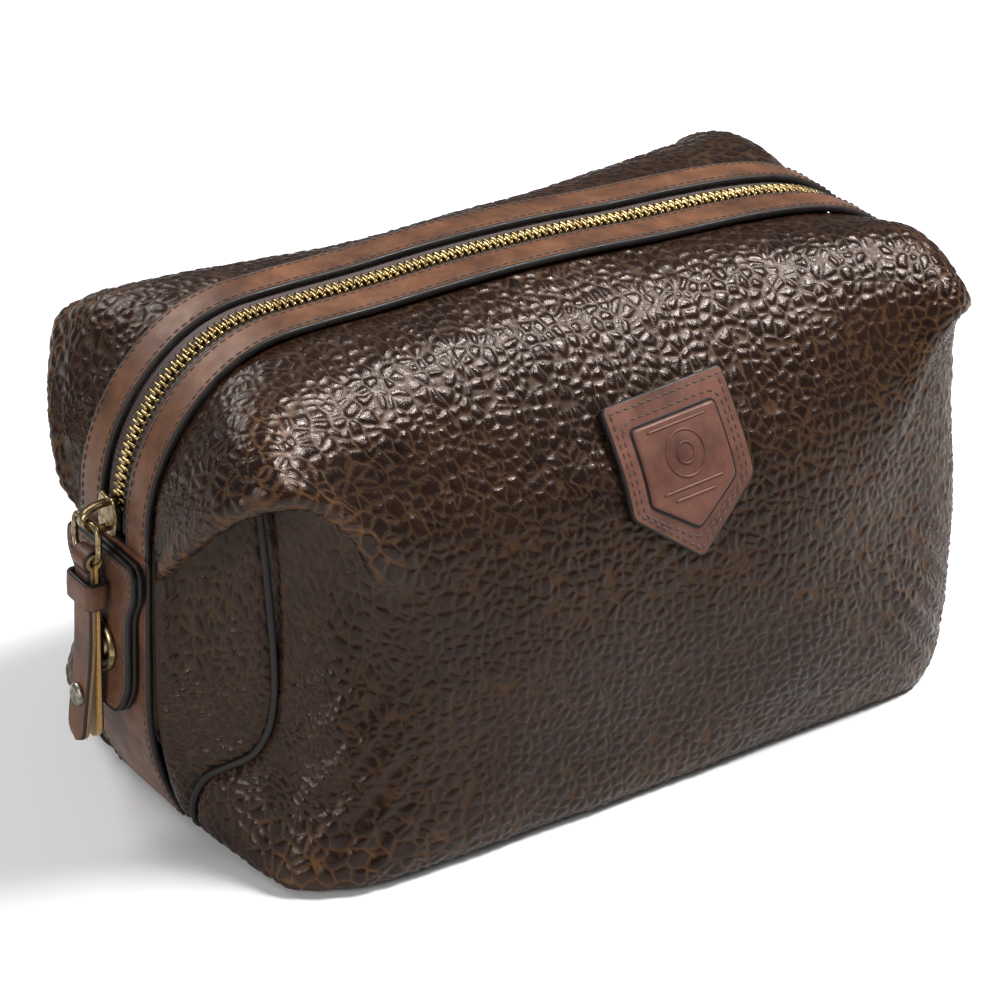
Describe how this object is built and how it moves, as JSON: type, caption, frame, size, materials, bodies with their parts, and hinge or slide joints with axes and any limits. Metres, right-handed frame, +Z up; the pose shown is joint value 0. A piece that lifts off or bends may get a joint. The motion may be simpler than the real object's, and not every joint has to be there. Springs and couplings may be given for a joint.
{
  "type": "shaving kit bag",
  "caption": "Leather shaving kit bag with a curved brass zip along its top, a leather pull on the slider, end tabs and a shield patch on the front.",
  "frame": {"origin": "centre of the base's underside, on the surface the bag stands on", "axes": "+X along the bag's length, towards the end where the zip opens; +Y to the back; +Z up. The front with the shield patch faces -Y"},
  "size_m": [0.2972, 0.1552, 0.1553],
  "materials": {
    "wall_leather": "glossy pebbled grain, dark brown",
    "strip_leather": "smooth mid brown with black painted edges",
    "patch_leather": "smooth reddish brown, embossed",
    "edge_paint": "black edge paint",
    "zip_tape": "woven tape",
    "lining": "cotton twill",
    "brass": "antique brass"
  },
  "bodies": {
    "root": {"front_panel": "wall_leather", "front_lining": "lining", "front_left_shoulder": "wall_leather", "front_left_gusset": "wall_leather", "front_left_welt": "edge_paint", "front_left_strip": "strip_leather", "front_left_tape": "zip_tape", "front_left_teeth": "brass", "front_right_shoulder": "wall_leather", "front_right_gusset": "wall_leather", "front_right_welt": "edge_paint", "front_right_strip": "strip_leather", "front_right_tape": "zip_tape", "front_right_teeth": "brass", "back_panel": "wall_leather", "back_lining": "lining", "back_left_shoulder": "wall_leather", "back_left_gusset": "wall_leather", "back_left_welt": "edge_paint", "back_left_strip": "strip_leather", "back_left_tape": "zip_tape", "back_left_teeth": "brass", "back_right_shoulder": "wall_leather", "back_right_gusset": "wall_leather", "back_right_welt": "edge_paint", "back_right_strip": "strip_leather", "back_right_tape": "zip_tape", "back_right_teeth": "brass", "base_panel": "wall_leather", "base_board": "lining", "slip_pocket": "lining", "left_band": "strip_leather", "left_tab_inner": "strip_leather", "left_tab_outer": "strip_leather", "left_rivet": "brass", "right_band": "strip_leather", "right_tab_inner": "strip_leather", "right_tab_outer": "strip_leather", "right_rivet": "brass", "end_stop": "brass", "patch_base": "patch_leather", "patch_inner": "patch_leather"},
    "front_flap": {"front_flap": "wall_leather", "front_top_strip": "strip_leather", "front_top_tape": "zip_tape", "front_top_teeth": "brass"},
    "back_flap": {"back_flap": "wall_leather", "back_top_strip": "strip_leather", "back_top_tape": "zip_tape", "back_top_teeth": "brass"},
    "slider": {"slider_body": "brass", "slider_bridge": "brass"},
    "link": {"pull_link": "brass"},
    "pull": {"leather_pull": "strip_leather", "pull_keeper": "strip_leather"}
  },
  "joints": [
    {"name": "front_flap_fold", "type": "hinge", "parent": "root", "child": "front_flap", "pos_m": [0, -0.0535, 0.134], "axis": [1, 0, 0], "range_deg": [0, 40]},
    {"name": "back_flap_fold", "type": "hinge", "parent": "root", "child": "back_flap", "pos_m": [0, 0.0535, 0.134], "axis": [-1, 0, 0], "range_deg": [0, 40]},
    {"name": "zip_run", "type": "hinge", "parent": "root", "child": "slider", "pos_m": [-0.0835, 0, 0.098], "axis": [0, 1, 0], "range_deg": [0, 55]},
    {"name": "link_swing", "type": "hinge", "parent": "slider", "child": "link", "pos_m": [-0.148, 0, 0.098], "axis": [0, 1, 0], "range_deg": [0, 120]},
    {"name": "pull_swing", "type": "hinge", "parent": "link", "child": "pull", "pos_m": [-0.148, 0, 0.086], "axis": [0, 1, 0], "range_deg": [0, 60]}
  ]
}
